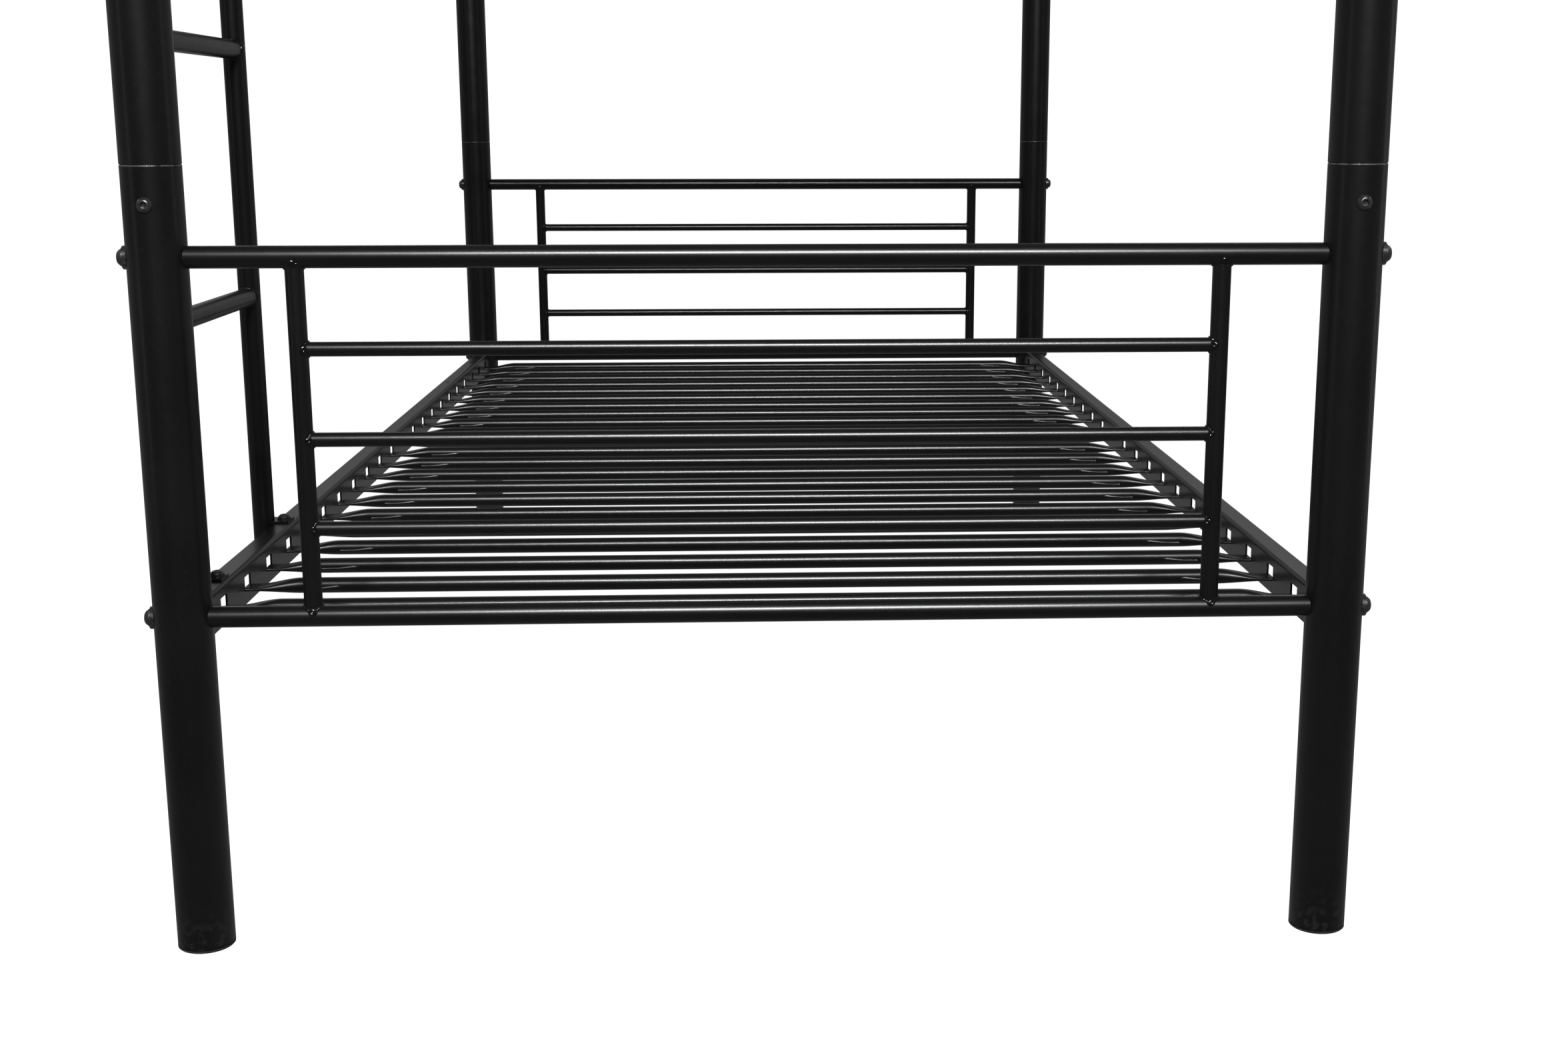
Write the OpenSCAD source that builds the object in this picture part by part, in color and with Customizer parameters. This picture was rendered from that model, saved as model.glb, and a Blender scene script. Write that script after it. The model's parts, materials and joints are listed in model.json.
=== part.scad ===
// Twin-over-twin metal bunk bed with a bolt-on side ladder.
// Frame: +Z up, +Y along the bed from the foot end to the head end, +X to the right.
// The origin is on the floor, below the centre of the bed.
// Two end frames stand on round posts. Each post is a lower and an upper tube joined by
// an inner sleeve. Angle-steel side rails hook into the posts, and tube slats lie between
// them with their flattened ends in punched slots.

/* [Overall] */
// Distance across the bed between post centres
bed_w = 1010; // [900:1:1300]
// Distance along the bed between post centres
bed_l = 1940; // [1600:1:2200]
// Height from the floor to the top of the post caps
bed_h = 1650; // [1600:1:1800]
// Height of the joint between lower and upper posts
joint_z = 689; // [660:1:900]
// Height of the lower deck's end rail centres
deck_z = 303; // [200:1:340]
// Height from the lower deck to the upper deck
deck_gap = 963; // [860:1:1000]

/* [Posts] */
// Outer diameter of the post tubes
post_d = 50; // [44:0.5:60]
// Wall of the post tubes
post_wall = 1.2; // [1:0.1:2.5]
// Bevel on the tube ends
post_bevel = 0.9; // [0.3:0.1:1]
// Length of the inner joint sleeve
sleeve_len = 120; // [80:1:130]
// Wall of the inner joint sleeve
sleeve_wall = 1.8; // [1:0.1:3]
// Radial clearance between the sleeve and the lower post
sleeve_slip = 0.2; // [0.1:0.05:0.5]
// Drop of the joint bolt below the joint line
joint_bolt_drop = 32; // [20:1:36]
// Height of the foot plug's visible rim
foot_rim = 2.5; // [1.5:0.1:5]
// Height of the domed post cap
cap_h = 7; // [4:0.5:12]
// Depth that plugs and caps reach into a tube
plug_depth = 22; // [12:1:30]

/* [End panels] */
// Height from the bottom rail to the top rail, centre to centre
panel_h = 310; // [240:1:330]
// Diameter of the panel's top and bottom rails
rail_d = 19; // [16:0.5:25]
// Diameter of the panel's uprights
upright_d = 16; // [13:0.5:19]
// Distance from the post centre to the upright centre
upright_inset = 112.5; // [70:0.5:180]
// Diameter of the thin bars between the uprights
bar_d = 12.5; // [9:0.5:14]
// Number of thin bars in each panel
bar_count = 3; // [2:1:4]
// Wall of the thin tubes
tube_wall = 1.1; // [0.8:0.1:1.6]
// Radius of the weld beads
bead_r = 2.4; // [1.5:0.1:3]

/* [Side rails] */
// Width of the angle's top flange
flange_w = 20; // [18:0.5:30]
// Height of the angle's web
web_h = 37; // [33:0.5:50]
// Thickness of the angle
angle_t = 2; // [1.5:0.1:3]
// Outer bend radius of the angle
bend_r = 4; // [3.5:0.1:6]
// Distance that the flange's free edge lies outside the post centre
rail_out = 7; // [5:0.5:9]
// Gap between a rail's end and the post
rail_end_gap = 3; // [1:0.5:8]
// Thickness of the hook plates
hook_t = 3; // [2:0.1:4]
// Height of a hook's neck
hook_h = 7; // [6:0.5:8]
// Drop of a hook's nose behind the post wall
hook_lip = 5; // [4:0.5:6]
// Length of a hook plate along the rail
plate_len = 40; // [34:1:60]
// Clearance of the hooks in the post slots
hook_clear = 0.5; // [0.2:0.1:1]

/* [Slats] */
// Number of slats in each deck
slat_count = 22; // [14:1:24]
// Diameter of a slat tube
slat_d = 15; // [12:0.5:16]
// Distance from the post centre to the first slat
slat_margin = 82.5; // [70:0.5:120]
// Depth of the slat centre below the top of the side rail
slat_drop = 21.5; // [19:0.5:23]
// Width of a slat's flattened end
tongue_w = 21; // [16:0.5:24]
// Thickness of a slat's flattened end
tongue_t = 3.2; // [2:0.1:4]
// Distance that the flattened end lies below the slat centre
tongue_drop = 1.8; // [0:0.1:2.5]
// Length of the flat end
tongue_len = 10; // [6:0.5:30]
// Length of the taper from round to flat
taper_len = 45; // [30:1:80]
// Height of the punched slot in the rail's web
slot_h = 14; // [10:0.5:16]
// Clearance at each side of a flattened end in its slot
slot_clear = 0.5; // [0.2:0.1:3]

/* [Ladder] */
// Distance between the ladder's stiles, centre to centre
ladder_w = 263; // [230:1:320]
// Distance from the foot post's centre to the near stile
ladder_inset = 99; // [80:1:110]
// Diameter of the stiles
stile_d = 22; // [19:0.5:25]
// Diameter of the rungs
rung_d = 19; // [16:0.5:21]
// Number of rungs
rung_count = 3; // [2:1:4]
// Height from one rung to the next
rung_pitch = 245; // [200:1:300]
// Length of stile past the rail's top at each end
stile_past = 26; // [15:1:40]
// Width of the bolted tab
tab_w = 26; // [20:1:32]
// Height of a stile's end cap
stile_cap_h = 3; // [2:0.5:6]
// Thickness of the bolted tab
tab_t = 2.5; // [2:0.1:4]
// Distance along the rail from the stile to its bolt
tab_shift = 6; // [4:0.5:12]

// Distance from the head post's centre to the first spare ladder hole
spare_inset = 186; // [60:1:260]

/* [Guard rails] */
// Height of the guard's top rail above the upper side rail
guard_h = 270; // [230:1:280]
// Gap between the far ladder tab and the left guard's first foot plate
guard_past = 6; // [4:1:60]
// Number of uprights in the right guard
guard_right_count = 4; // [3:1:6]
// Number of uprights in the left guard, without its bent leg
guard_left_count = 3; // [2:1:4]
// Distance from the post centre to a guard's end upright
guard_end = 60; // [56:1:120]
// Number of bars in a guard
guard_bars = 2; // [1:1:3]
// Bend radius of the guard's corner
guard_bend_r = 55; // [40:1:90]
// Length of a guard foot plate
foot_plate_l = 52; // [46:1:70]
// Thickness of a guard foot plate
foot_t = 3; // [2:0.5:5]

/* [Fasteners] */
// Diameter of the frame bolts
bolt_d = 8; // [6:1:10]
// Diameter of the frame bolt heads
head_d = 16; // [14:0.5:18]
// Height of the frame bolt heads
head_h = 5; // [4:0.5:7]
// Thickness of a saddle washer at the post's crown
saddle_t = 2.5; // [1.5:0.1:4]
// Depth that a saddle washer reaches round the post
saddle_wrap = 4; // [3:0.5:6]
// Depth that a frame bolt reaches into a rail
bolt_grip = 30; // [20:1:40]
// Diameter of the joint bolt heads
joint_head_d = 13; // [10:0.5:15]
// Diameter of the small bolts of ladder, guard feet and joints
small_bolt_d = 6; // [5:1:6]
// Radial clearance of bolts in plain holes
bolt_clear = 0.4; // [0.2:0.1:1]
// Thickness of washers
washer_t = 1.6; // [1:0.1:2.5]

/* [Hidden] */
$fn = 64;
BLACK = [0.045, 0.045, 0.05];
PLASTIC = [0.07, 0.07, 0.075];
BOLT = [0.10, 0.10, 0.11];
LEFT = -1;
RIGHT = 1;
FOOT = -1;
HEAD = 1;
eps = 1; // overshoot of cutting tools

half_w = bed_w / 2;
half_l = bed_l / 2;
post_r = post_d / 2;
post_in_r = post_r - post_wall;
upper_z = deck_z + deck_gap;
rail_top = rail_d / 2; // side rail's top above the deck's rail centre
rail_in = flange_w - rail_out; // web's inner face, inwards of the post centre
web_x = half_w - rail_in; // web's inner face from the bed's centre
web_out_x = web_x + angle_t; // web's outer face from the bed's centre
rail_half = half_l - post_r - rail_end_gap;
upright_x = half_w - upright_inset;
bar_pitch = panel_h / (bar_count + 1);
slat_pitch = (bed_l - 2 * slat_margin) / (slat_count - 1);
slat_ys = [for (i = [0:slat_count - 1]) -half_l + slat_margin + i * slat_pitch];
tongue_z = rail_top - slat_drop - tongue_drop; // flat end's centre above the deck
slot_z = tongue_z - tongue_t / 2; // slot's lower edge, on which the flat end rests
hook_slot_h = hook_h + hook_lip + 2 * hook_clear; // lets the nose in above the seated neck
hook_zs = [rail_top - 14, rail_top - web_h + 8]; // necks' lower edges, from the deck's height
hook_side = rail_in - angle_t; // hook plate's inner face from the post's centre
hook_wall_in = sqrt(post_in_r * post_in_r - hook_side * hook_side) - hook_clear; // nose's face
hook_reach = hook_wall_in - 3; // nose's tip from the post's centre
plate_start = sqrt(post_r * post_r - pow(hook_side - hook_t, 2)) + 0.2; // clear of the post
plate_top = rail_top - angle_t - 1; // hook plate's top edge
plate_low = rail_top - web_h + 2; // hook plate's lower edge
stile_x = -(half_w + rail_out + stile_d / 2);
stile_low = deck_z + rail_top - stile_past;
stile_high = upper_z + rail_top + stile_past;
stile_ys = [-half_l + ladder_inset, -half_l + ladder_inset + ladder_w];
first_rung = (deck_gap - (rung_count - 1) * rung_pitch) / 2;
rung_zs = [for (i = [0:rung_count - 1]) deck_z + rail_top + first_rung + i * rung_pitch];
tab_zs = [deck_z + rail_top, upper_z + rail_top];
tab_bolt_x = -(half_w + (rail_out - rail_in + angle_t) / 2); // middle of the free flange
ladder_holes = [for (y = stile_ys) y + tab_shift];
spare_holes = [half_l - spare_inset, half_l - spare_inset - ladder_w];
foot_z = upper_z + rail_top; // underside of the guard feet
guard_z = upper_z + rail_top + guard_h;
guard_leg_y = stile_ys[1] + tab_shift + tab_w / 2 + guard_past + foot_plate_l / 2;
guard_bar_pitch = guard_h / (guard_bars + 1);
insert_d = rail_d - 2 * tube_wall;
small_head_d = 2.2 * small_bolt_d;
small_head_h = 0.62 * small_bolt_d;
nut_h = 0.8 * small_bolt_d;
nut_d = 1.15 * 1.67 * small_bolt_d; // across corners
bolt_r = bolt_d / 2;
small_r = small_bolt_d / 2;
guard_end_y = half_l - guard_end;
right_step = 2 * guard_end_y / (guard_right_count - 1);
left_step = (guard_end_y - guard_leg_y) / guard_left_count;
right_ys = [for (i = [0:guard_right_count - 1]) -guard_end_y + i * right_step];
left_ys = [for (i = [1:guard_left_count]) guard_leg_y + i * left_step];
guard_foot_ys = concat([guard_leg_y], left_ys);
foot_bolt_shift = foot_plate_l / 2 - small_head_d / 2 - 2;

// ---- Helpers ----

// Round bar along X, centred on the origin
module bar_x(d, len) rotate([0, 90, 0]) cylinder(d = d, h = len, center = true);

// Round bar along Y, centred on the origin
module bar_y(d, len) rotate([90, 0, 0]) cylinder(d = d, h = len, center = true);

// Plain tubes along X, Y and Z, centred on the origin
module tube_x(d, wall, len) difference() {
    bar_x(d, len);
    bar_x(d - 2 * wall, len + 2 * eps);
}
module tube_y(d, wall, len) rotate([0, 0, 90]) tube_x(d, wall, len);
module tube_z(d, wall, len) rotate([0, 90, 0]) tube_x(d, wall, len);

// Post tube standing on z = 0, with bevelled ends
module post_tube(len) rotate_extrude() polygon([
    [post_in_r, 0], [post_r - post_bevel, 0], [post_r, post_bevel],
    [post_r, len - post_bevel], [post_r - post_bevel, len], [post_in_r, len]
]);

// Places children at one post: e is FOOT or HEAD, s is LEFT or RIGHT
module at_post(e, s) translate([s * half_w, e * half_l, 0]) children();

// Places children at all four posts, turned so that their +X points out of the bed
module at_posts() for (e = [FOOT, HEAD], s = [LEFT, RIGHT])
    at_post(e, s) rotate([0, 0, s == RIGHT ? 0 : 180]) children();

// Solid cores of all four posts, to cut saddles with
module post_cores() for (e = [FOOT, HEAD], s = [LEFT, RIGHT])
    at_post(e, s) cylinder(r = post_r, h = bed_h);

// Two slots through which a rail's hooks enter a post, for a deck at height z
module hook_slots(e, s, z) for (hz = hook_zs)
    translate([s * (web_out_x + hook_t / 2), e * (half_l - post_r), z + hz + hook_slot_h / 2])
        cube([hook_t + 2 * hook_clear, post_r, hook_slot_h], center = true);

// ---- Posts ----

module post_lower(e, s) color(BLACK) difference() {
    at_post(e, s) translate([0, 0, foot_rim]) post_tube(joint_z - foot_rim);
    for (z = [deck_z, deck_z + panel_h])
        at_post(e, s) translate([0, 0, z]) bar_x(bolt_d + 2 * bolt_clear, post_d + 2 * eps);
    hook_slots(e, s, deck_z);
    at_post(e, s) translate([0, e * post_r, joint_z - joint_bolt_drop])
        bar_y(small_bolt_d + 2 * bolt_clear, post_r);
}

module post_upper(e, s) color(BLACK) difference() {
    at_post(e, s) translate([0, 0, joint_z]) post_tube(bed_h - cap_h - joint_z);
    for (z = [upper_z, upper_z + panel_h])
        at_post(e, s) translate([0, 0, z]) bar_x(bolt_d + 2 * bolt_clear, post_d + 2 * eps);
    hook_slots(e, s, upper_z);
    if (e == HEAD || s == RIGHT)
        at_post(e, s) translate([0, 0, guard_z]) bar_y(bolt_d + 2 * bolt_clear, post_d + 2 * eps);
}

// Sleeve: its upper half is pressed into the upper post, its lower half slides in the lower one
module sleeve(e, s) color(BLACK) difference() {
    at_post(e, s) translate([0, 0, joint_z]) rotate_extrude() polygon([
        [post_in_r - sleeve_wall, -sleeve_len / 2], [post_in_r - sleeve_slip - 1, -sleeve_len / 2],
        [post_in_r - sleeve_slip, 1 - sleeve_len / 2], [post_in_r - sleeve_slip, 0],
        [post_in_r, 0], [post_in_r, sleeve_len / 2], [post_in_r - sleeve_wall, sleeve_len / 2]
    ]);
    at_post(e, s) translate([0, e * post_r, joint_z - joint_bolt_drop])
        bar_y(small_bolt_d, post_r);
}

// Insert of a plug or cap: a thin cup that slides into a tube of inner radius r
module plug_cup(r, depth) difference() {
    cylinder(r = r - 0.2, h = depth);
    translate([0, 0, 2]) cylinder(r = r - 2.2, h = depth);
}

module foot_plugs() color(PLASTIC) at_posts() {
    rotate_extrude() polygon([[0, 0], [post_r - 1, 0], [post_r, 1], [post_r, foot_rim], [0, foot_rim]]);
    translate([0, 0, foot_rim - eps / 2]) plug_cup(post_in_r, plug_depth);
}

// Domed cap: a spherical cap of height cap_h over a short rim
module cap_dome(r, h, rim) {
    dome = h - rim;
    ball = (r * r + dome * dome) / (2 * dome);
    cylinder(r = r, h = rim);
    intersection() {
        translate([0, 0, h - ball]) sphere(r = ball, $fn = 128);
        translate([0, 0, rim / 2]) cylinder(r = r, h = h);
    }
}

module post_caps() color(PLASTIC) at_posts() translate([0, 0, bed_h - cap_h]) {
    cap_dome(post_r, cap_h, 2);
    rotate([180, 0, 0]) translate([0, 0, -eps / 2]) plug_cup(post_in_r, plug_depth);
}

// ---- End panels ----

// Two long rails of one end panel, saddled to the posts
module panel_rails(e, z) color(BLACK) difference() {
    for (dz = [0, panel_h])
        translate([0, e * half_l, z + dz]) tube_x(rail_d, tube_wall, bed_w);
    post_cores();
}

module panel_uprights(e, z) color(BLACK) difference() {
    for (s = [LEFT, RIGHT])
        translate([s * upright_x, e * half_l, z + panel_h / 2]) tube_z(upright_d, tube_wall, panel_h);
    for (dz = [0, panel_h])
        translate([0, e * half_l, z + dz]) bar_x(rail_d, bed_w);
}

module panel_bars(e, z) color(BLACK) difference() {
    for (i = [1:bar_count])
        translate([0, e * half_l, z + i * bar_pitch]) tube_x(bar_d, tube_wall, 2 * upright_x);
    for (s = [LEFT, RIGHT])
        translate([s * upright_x, e * half_l, z]) cylinder(d = upright_d, h = panel_h);
}

// Weld bead round a tube of diameter d, in the XY plane
module bead(d) rotate_extrude() translate([d / 2 + bead_r / 4, 0]) circle(r = bead_r, $fn = 24);

// Beads of one panel, cut back to the faces of the tubes that they join
module one_panel_welds(e, z) difference() {
    for (s = [LEFT, RIGHT]) translate([s * upright_x, e * half_l, z]) {
        for (i = [1:bar_count])
            translate([-s * upright_d / 2, 0, i * bar_pitch]) rotate([0, 90, 0]) bead(bar_d);
        for (dz = [rail_d / 2, panel_h - rail_d / 2])
            translate([0, 0, dz]) bead(upright_d);
    }
    translate([0, e * half_l, z]) {
        for (dz = [0, panel_h]) translate([0, 0, dz]) bar_x(rail_d, bed_w);
        for (i = [1:bar_count]) translate([0, 0, i * bar_pitch]) bar_x(bar_d, 2 * upright_x);
        for (s = [LEFT, RIGHT]) translate([s * upright_x, 0, 0]) cylinder(d = upright_d, h = panel_h);
    }
}

module panel_welds() color(BLACK) for (e = [FOOT, HEAD], z = [deck_z, upper_z])
    one_panel_welds(e, z);

// ---- Side rails, hooks and slats ----

// Angle section: x runs inwards from the post centre, y up from the rail's top
module angle_section() {
    translate([-rail_out, -angle_t]) square([flange_w - bend_r, angle_t]);
    translate([rail_in - angle_t, -web_h]) square([angle_t, web_h - bend_r]);
    translate([rail_in - bend_r, -bend_r]) intersection() {
        difference() {
            circle(r = bend_r);
            circle(r = bend_r - angle_t);
        }
        square(bend_r);
    }
}

// Bolt holes through the flange, at distances y from the bed's middle
module flange_holes(ys, z) for (y = ys)
    translate([tab_bolt_x, y, z]) cylinder(r = small_r + bolt_clear, h = 4 * angle_t, center = true);

// Left side rail of a deck at height z; the right one is its mirror image
module left_rail(z) difference() {
    translate([-half_w, rail_half, z + rail_top]) rotate([90, 0, 0])
        linear_extrude(height = 2 * rail_half) angle_section();
    for (y = slat_ys) translate([-web_x, y, z + slot_z + slot_h / 2])
        cube([4 * angle_t, tongue_w + 2 * slot_clear, slot_h], center = true);
}

module side_rail_left(z, foot_ys) color(BLACK) difference() {
    left_rail(z);
    flange_holes(concat(ladder_holes, spare_holes), z + rail_top);
    guard_foot_holes(LEFT, foot_ys, z + rail_top);
}

module side_rail_right(z, foot_ys) color(BLACK) difference() {
    mirror([1, 0, 0]) left_rail(z);
    guard_foot_holes(RIGHT, foot_ys, z + rail_top);
}

// Hook plate's outline: x runs from the post's centre towards the rail, y upwards from the deck
module hook_outline() {
    translate([plate_start, plate_low]) square([plate_len, plate_top - plate_low]);
    for (hz = hook_zs) {
        translate([hook_reach, hz]) square([plate_start - hook_reach + eps, hook_h]);
        translate([hook_reach, hz - hook_lip]) square([hook_wall_in - hook_reach, hook_lip + eps]);
    }
}

module rail_hooks() color(BLACK) for (s = [LEFT, RIGHT], e = [FOOT, HEAD], z = [deck_z, upper_z])
    translate([s * (web_out_x + hook_t / 2), e * half_l, z])
        mirror([0, e == HEAD ? 1 : 0, 0])
            rotate([90, 0, 90]) translate([0, 0, -hook_t / 2])
                linear_extrude(height = hook_t) hook_outline();

// One slat along X at the deck's height: a closed tube with two flattened ends
module slat() {
    end_x = web_out_x; // the flat end is flush with the web's outer face
    flat_x = end_x - tongue_len;
    round_x = flat_x - taper_len;
    r = slat_d / 2;
    centre_z = rail_top - slat_drop;
    difference() {
        translate([0, 0, centre_z]) bar_x(slat_d, 2 * round_x);
        translate([0, 0, centre_z]) bar_x(slat_d - 2 * tube_wall, 2 * round_x - 2 * tube_wall);
    }
    for (s = [LEFT, RIGHT]) intersection() {
        rotate([90, 0, 0]) linear_extrude(height = 2 * tongue_w, center = true) polygon([
            [s * (round_x - eps), centre_z - r], [s * round_x, centre_z - r],
            [s * flat_x, tongue_z - tongue_t / 2], [s * end_x, tongue_z - tongue_t / 2],
            [s * end_x, tongue_z + tongue_t / 2], [s * flat_x, tongue_z + tongue_t / 2],
            [s * round_x, centre_z + r], [s * (round_x - eps), centre_z + r]
        ]);
        translate([0, 0, centre_z - slat_d]) linear_extrude(height = 2 * slat_d) polygon([
            [s * (round_x - eps), r * 0.8], [s * flat_x, tongue_w / 2], [s * end_x, tongue_w / 2],
            [s * end_x, -tongue_w / 2], [s * flat_x, -tongue_w / 2], [s * (round_x - eps), -r * 0.8]
        ]);
    }
}

module slats(z) color(BLACK) for (y = slat_ys) translate([0, y, z]) slat();

// ---- Ladder ----

module stile(y) color(BLACK) translate([stile_x, y, (stile_low + stile_high) / 2])
    tube_z(stile_d, tube_wall, stile_high - stile_low);

module ladder_rungs() color(BLACK) difference() {
    for (z = rung_zs)
        translate([stile_x, (stile_ys[0] + stile_ys[1]) / 2, z]) tube_y(rung_d, tube_wall, ladder_w);
    stile_cores();
}

module stile_cores() for (y = stile_ys)
    translate([stile_x, y, stile_low]) cylinder(d = stile_d, h = stile_high - stile_low);

// Flat tabs that are welded to the stiles and lie on the rails' flanges
module ladder_tabs() color(BLACK) difference() {
    for (y = stile_ys, z = tab_zs)
        translate([stile_x, y + tab_shift - tab_w / 2, z])
            cube([-half_w + rail_in - bend_r - stile_x, tab_w, tab_t]);
    stile_cores();
    for (y = ladder_holes, z = tab_zs)
        translate([tab_bolt_x, y, z]) cylinder(r = small_r + bolt_clear, h = 4 * tab_t, center = true);
}

module ladder_stile_caps() color(PLASTIC) for (y = stile_ys) translate([stile_x, y, 0]) {
    translate([0, 0, stile_high]) stile_cap();
    translate([0, 0, stile_low]) rotate([180, 0, 0]) stile_cap();
}

module stile_cap() {
    cap_dome(stile_d / 2, stile_cap_h, 1.2);
    rotate([180, 0, 0]) translate([0, 0, -eps / 2]) plug_cup(stile_d / 2 - tube_wall, 12);
}

module ladder_welds() color(BLACK) difference() {
    for (y = stile_ys, z = rung_zs) {
        inwards = y == stile_ys[0] ? 1 : -1;
        translate([stile_x, y + inwards * stile_d / 2, z]) rotate([90, 0, 0]) bead(rung_d);
    }
    stile_cores();
    for (z = rung_zs)
        translate([stile_x, (stile_ys[0] + stile_ys[1]) / 2, z]) bar_y(rung_d, ladder_w);
}

// ---- Small bolts, nuts and washers ----

// Bolt with a button head on z = 0 and its shank, of radius sr, going down
module button_bolt(d, h, sr, grip, socket) difference() {
    rotate_extrude() polygon([
        [0, -grip], [sr, -grip], [sr, 0], [d / 2, 0], [d / 2, 0.35 * h],
        [0.46 * d, 0.62 * h], [0.39 * d, 0.86 * h], [0.3 * d, h], [0, h]
    ]);
    translate([0, 0, h / 3]) cylinder(d = socket, h = h, $fn = 6);
}

module small_bolt(grip) button_bolt(small_head_d, small_head_h, small_r, grip, 0.75 * small_bolt_d);

module small_nut() difference() {
    cylinder(d = nut_d, h = nut_h, $fn = 6);
    translate([0, 0, -eps]) cylinder(r = small_r, h = nut_h + 2 * eps);
}

module at_tabs() for (y = ladder_holes, z = tab_zs) translate([tab_bolt_x, y, z]) children();

module ladder_bolts() color(BOLT) at_tabs()
    translate([0, 0, tab_t + washer_t]) small_bolt(tab_t + washer_t + angle_t + nut_h + 3);

module ladder_washers() color(BOLT) at_tabs() translate([0, 0, tab_t]) difference() {
    cylinder(d = small_head_d + 2, h = washer_t);
    translate([0, 0, -eps]) cylinder(r = small_r + bolt_clear, h = washer_t + 2 * eps);
}

module ladder_nuts() color(BOLT) at_tabs() translate([0, 0, -angle_t - nut_h]) small_nut();

// ---- Guard rails of the upper deck ----

// Left guard: one tube from the head post that bends down to a leg beside the ladder
module guard_left_frame() color(BLACK) difference() {
    union() {
        translate([-half_w, (half_l + guard_leg_y + guard_bend_r) / 2, guard_z])
            tube_y(rail_d, tube_wall, half_l - guard_leg_y - guard_bend_r);
        translate([-half_w, guard_leg_y + guard_bend_r, guard_z - guard_bend_r]) rotate([90, 0, 90])
            rotate([0, 0, 90]) rotate_extrude(angle = 90) translate([guard_bend_r, 0]) difference() {
                circle(d = rail_d);
                circle(d = rail_d - 2 * tube_wall);
            }
        translate([-half_w, guard_leg_y, (foot_z + foot_t + guard_z - guard_bend_r) / 2])
            tube_z(rail_d, tube_wall, guard_z - guard_bend_r - foot_z - foot_t);
    }
    post_cores();
}

module guard_right_rail() color(BLACK) difference() {
    translate([half_w, 0, guard_z]) tube_y(rail_d, tube_wall, bed_l);
    post_cores();
}

// Uprights of a guard on side s, from the foot plates to the top rail
module guard_uprights_at(s, ys) color(BLACK) difference() {
    for (y = ys) translate([s * half_w, y, (foot_z + foot_t + guard_z) / 2])
        tube_z(upright_d, tube_wall, guard_z - foot_z - foot_t);
    translate([s * half_w, 0, guard_z]) bar_y(rail_d, bed_l);
}

// Bars of a guard on side s, in spans between uprights at ys; first_d is the first one's diameter
module guard_bars_at(s, ys, first_d) color(BLACK) difference() {
    for (i = [0:len(ys) - 2], j = [1:guard_bars])
        translate([s * half_w, (ys[i] + ys[i + 1]) / 2, foot_z + j * guard_bar_pitch])
            tube_y(bar_d, tube_wall, ys[i + 1] - ys[i]);
    for (i = [0:len(ys) - 1]) translate([s * half_w, ys[i], foot_z])
        cylinder(d = i == 0 ? first_d : upright_d, h = guard_h);
}

// Places children on the middle of each guard foot, on the flange
module at_guard_feet() {
    for (y = guard_foot_ys) translate([-half_w, y, foot_z]) children();
    for (y = right_ys) translate([half_w, y, foot_z]) children();
}

module guard_foot_holes(s, ys, z) for (y = ys, d = [-1, 1])
    translate([s * half_w, y + d * foot_bolt_shift, z])
        cylinder(r = small_r + bolt_clear, h = 4 * angle_t, center = true);

module guard_feet() color(BLACK) at_guard_feet() difference() {
    translate([-rail_out, -foot_plate_l / 2, 0]) cube([2 * rail_out, foot_plate_l, foot_t]);
    for (d = [-1, 1]) translate([0, d * foot_bolt_shift, 0])
        cylinder(r = small_r + bolt_clear, h = 4 * foot_t, center = true);
}

module at_foot_bolts() at_guard_feet() for (d = [-1, 1])
    translate([0, d * foot_bolt_shift, 0]) children();

module guard_foot_bolts() color(BOLT) at_foot_bolts()
    translate([0, 0, foot_t]) small_bolt(foot_t + angle_t + nut_h + 2);

module guard_foot_nuts() color(BOLT) at_foot_bolts() translate([0, 0, -angle_t - nut_h]) small_nut();

// ---- Frame bolts: through a post into the threaded insert of a rail ----

// Each child is drawn with its +X pointing out of the post and its axis through the post
module at_frame_bolts() {
    at_posts() for (z = [deck_z, deck_z + panel_h, upper_z, upper_z + panel_h])
        translate([0, 0, z]) children();
    for (e = [FOOT, HEAD], s = [LEFT, RIGHT]) if (e == HEAD || s == RIGHT)
        at_post(e, s) translate([0, 0, guard_z]) rotate([0, 0, e * 90]) children();
}

module frame_bolts() color(BOLT) at_frame_bolts() {
    translate([post_r + saddle_t, 0, 0]) rotate([0, 90, 0])
        button_bolt(head_d, head_h, bolt_r, bolt_grip + post_d + saddle_t, 0.75 * bolt_d);
}

module saddle_washers() color(BOLT) at_frame_bolts() difference() {
    translate([post_r - saddle_wrap, 0, 0]) rotate([0, 90, 0])
        cylinder(d = head_d + 4, h = saddle_wrap + saddle_t);
    translate([0, 0, -head_d]) cylinder(r = post_r, h = 2 * head_d);
    bar_x(bolt_d + 2 * bolt_clear, 2 * post_d);
}

module rail_inserts() color(BOLT) at_frame_bolts() difference() {
    translate([-post_r - bolt_grip, 0, 0]) rotate([0, 90, 0]) cylinder(d = insert_d, h = bolt_grip);
    translate([-post_r - bolt_grip - eps, 0, 0]) rotate([0, 90, 0])
        cylinder(r = bolt_r, h = bolt_grip + 2 * eps);
    translate([0, 0, -rail_d]) cylinder(r = post_r, h = 2 * rail_d);
}

// Socket bolts that lock the sleeves, on the outer end faces of the lower posts
module joint_bolts() color(BOLT) for (e = [FOOT, HEAD], s = [LEFT, RIGHT])
    at_post(e, s) translate([0, 0, joint_z - joint_bolt_drop]) rotate([0, 0, e * 90]) {
        translate([post_r, 0, 0]) rotate([0, 90, 0])
            button_bolt(joint_head_d, small_head_h, small_r, 12, 0.75 * small_bolt_d);
    }

// ---- Nodes ----

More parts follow.
